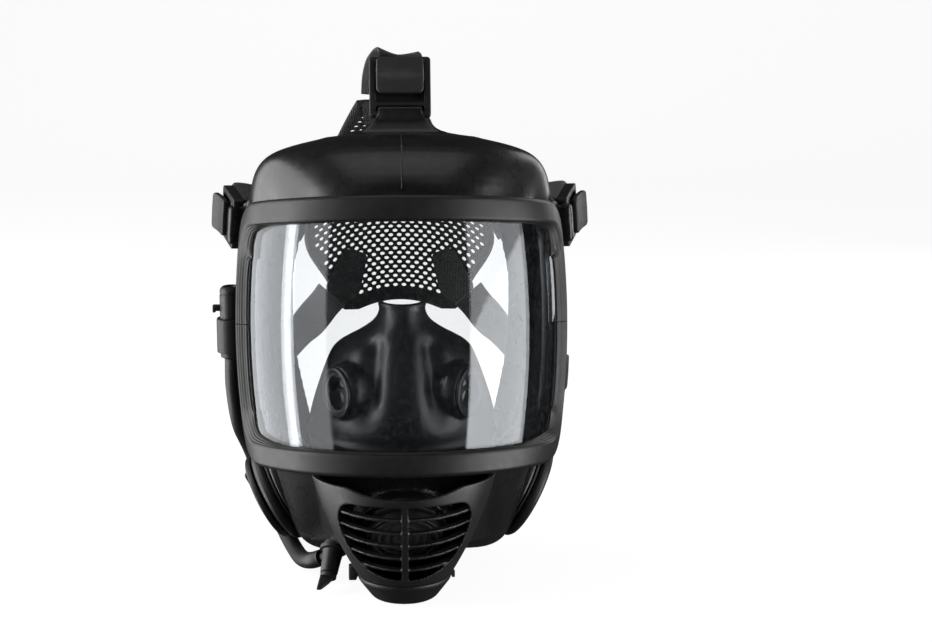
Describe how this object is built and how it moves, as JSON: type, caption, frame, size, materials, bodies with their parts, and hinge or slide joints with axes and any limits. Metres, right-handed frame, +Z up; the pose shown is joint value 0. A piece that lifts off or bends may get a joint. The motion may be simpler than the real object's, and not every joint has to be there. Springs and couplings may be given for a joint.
{
  "type": "full face respirator",
  "caption": "Full face respirator with a panoramic clear visor in a two-part bezel, black rubber facepiece, chin grille, side filter ports, buckles and a mesh head harness.",
  "frame": {"origin": "centre of the flat foot under the chin outlet", "axes": "+Z up through the forehead, the visor faces -Y, left is -X as seen from the front"},
  "size_m": [0.2073, 0.2232, 0.2807],
  "materials": {
    "facepiece_rubber": "smooth moulded rubber with a soft sheen",
    "soft_rubber": "matt soft rubber",
    "moulded_plastic": "fine-grained satin moulding",
    "satin_plastic": "matt moulding",
    "clear_lens": "clear polycarbonate",
    "harness_webbing": "black elastic webbing and mesh",
    "pin_steel": "plain steel",
    "diaphragm_film": "thin corrugated film"
  },
  "bodies": {
    "mask": {"visor": "clear_lens", "bezel_upper": "moulded_plastic", "bezel_lower": "moulded_plastic", "bezel_screw_left": "pin_steel", "bezel_screw_right": "pin_steel", "buckle_frame_top": "moulded_plastic", "buckle_pin_top": "pin_steel", "buckle_frame_temple_left": "moulded_plastic", "buckle_pin_temple_left": "pin_steel", "buckle_frame_temple_right": "moulded_plastic", "buckle_pin_temple_right": "pin_steel", "buckle_frame_jaw_left": "moulded_plastic", "buckle_pin_jaw_left": "pin_steel", "buckle_frame_jaw_right": "moulded_plastic", "buckle_pin_jaw_right": "pin_steel", "harness_pad": "harness_webbing", "strap_top": "harness_webbing", "strap_temple_left": "harness_webbing", "strap_jaw_left": "harness_webbing", "strap_temple_right": "harness_webbing", "strap_jaw_right": "harness_webbing", "grille_cover": "moulded_plastic", "chin_outlet": "soft_rubber", "module_body": "moulded_plastic", "module_ring_nut": "moulded_plastic", "speech_diaphragm": "diaphragm_film", "diaphragm_ring": "satin_plastic", "outlet_clamp": "satin_plastic", "port_sleeve_left": "facepiece_rubber", "port_body_left": "moulded_plastic", "port_clamp_ring_left": "satin_plastic", "port_sleeve_right": "facepiece_rubber", "port_body_right": "moulded_plastic", "port_clamp_ring_right": "satin_plastic", "nose_cup": "soft_rubber", "cup_valve_seat_left": "moulded_plastic", "cup_valve_seat_right": "moulded_plastic", "coupling_holder": "soft_rubber", "drink_hose": "soft_rubber", "drink_valve_body": "moulded_plastic", "inner_drink_tube": "soft_rubber", "facepiece": "facepiece_rubber"},
    "lever_top": {"buckle_lever_top": "satin_plastic"},
    "lever_temple_left": {"buckle_lever_temple_left": "satin_plastic"},
    "lever_temple_right": {"buckle_lever_temple_right": "satin_plastic"},
    "lever_jaw_left": {"buckle_lever_jaw_left": "satin_plastic"},
    "lever_jaw_right": {"buckle_lever_jaw_right": "satin_plastic"},
    "plug_ring": {"plug_seal": "soft_rubber"},
    "plug": {"port_plug": "moulded_plastic"},
    "exhalation_flap": {"exhalation_valve_disc": "soft_rubber"},
    "port_flap_left": {"port_valve_disc_left": "soft_rubber"},
    "cup_flap_left": {"cup_valve_disc_left": "soft_rubber"},
    "port_flap_right": {"port_valve_disc_right": "soft_rubber"},
    "cup_flap_right": {"cup_valve_disc_right": "soft_rubber"},
    "drink_turner": {"drink_lever": "moulded_plastic"},
    "coupling": {"drink_coupling": "moulded_plastic"}
  },
  "joints": [
    {"name": "lever_top_hinge", "type": "hinge", "parent": "mask", "child": "lever_top", "pos_m": [0, 0.07783, 0.25853], "axis": [1, 0, 0], "range_deg": [0, 65]},
    {"name": "lever_temple_left_hinge", "type": "hinge", "parent": "mask", "child": "lever_temple_left", "pos_m": [-0.09238, 0.09252, 0.18694], "axis": [0.0778, -0.1045, 0.9915], "range_deg": [0, 65]},
    {"name": "lever_temple_right_hinge", "type": "hinge", "parent": "mask", "child": "lever_temple_right", "pos_m": [0.09238, 0.09252, 0.18694], "axis": [0.0778, 0.1045, -0.9915], "range_deg": [0, 65]},
    {"name": "lever_jaw_left_hinge", "type": "hinge", "parent": "mask", "child": "lever_jaw_left", "pos_m": [-0.08798, 0.1145, 0.09002], "axis": [-0.0525, 0.0386, 0.9979], "range_deg": [0, 65]},
    {"name": "lever_jaw_right_hinge", "type": "hinge", "parent": "mask", "child": "lever_jaw_right", "pos_m": [0.08798, 0.1145, 0.09002], "axis": [-0.0525, -0.0386, -0.9979], "range_deg": [0, 65]},
    {"name": "plug_travel", "type": "slide", "parent": "mask", "child": "plug_ring", "axis": [-0.8839, 0.0465, -0.4654], "range_m": [0, 0.012]},
    {"name": "plug_turn", "type": "hinge", "parent": "plug_ring", "child": "plug", "pos_m": [-0.07154, 0.07382, 0.03386], "axis": [-0.8839, 0.0465, -0.4654], "range_deg": [0, 1190]},
    {"name": "exhalation_flap_lift", "type": "slide", "parent": "mask", "child": "exhalation_flap", "axis": [0, -0.8192, -0.5736], "range_m": [0, 0.0015]},
    {"name": "port_flap_left_lift", "type": "slide", "parent": "mask", "child": "port_flap_left", "axis": [0.8839, -0.0465, 0.4654], "range_m": [0, 0.0015]},
    {"name": "cup_flap_left_lift", "type": "slide", "parent": "mask", "child": "cup_flap_left", "axis": [0.848, 0.5299, 0], "range_m": [0, 0.0015]},
    {"name": "port_flap_right_lift", "type": "slide", "parent": "mask", "child": "port_flap_right", "axis": [-0.8839, -0.0465, 0.4654], "range_m": [0, 0.0015]},
    {"name": "cup_flap_right_lift", "type": "slide", "parent": "mask", "child": "cup_flap_right", "axis": [-0.848, 0.5299, 0], "range_m": [0, 0.0015]},
    {"name": "drink_lever_turn", "type": "hinge", "parent": "mask", "child": "drink_turner", "pos_m": [-0.04004, 0.00684, 0.00958], "axis": [-0.1689, -0.6755, -0.7177], "range_deg": [0, 90]},
    {"name": "coupling_slide", "type": "slide", "parent": "mask", "child": "coupling", "axis": [0, 0, 1], "range_m": [0, 0.02]}
  ],
  "couplings": [
    {"joint": "plug_travel", "follows": "plug_turn", "m_per_rad": 0.0005775}
  ]
}
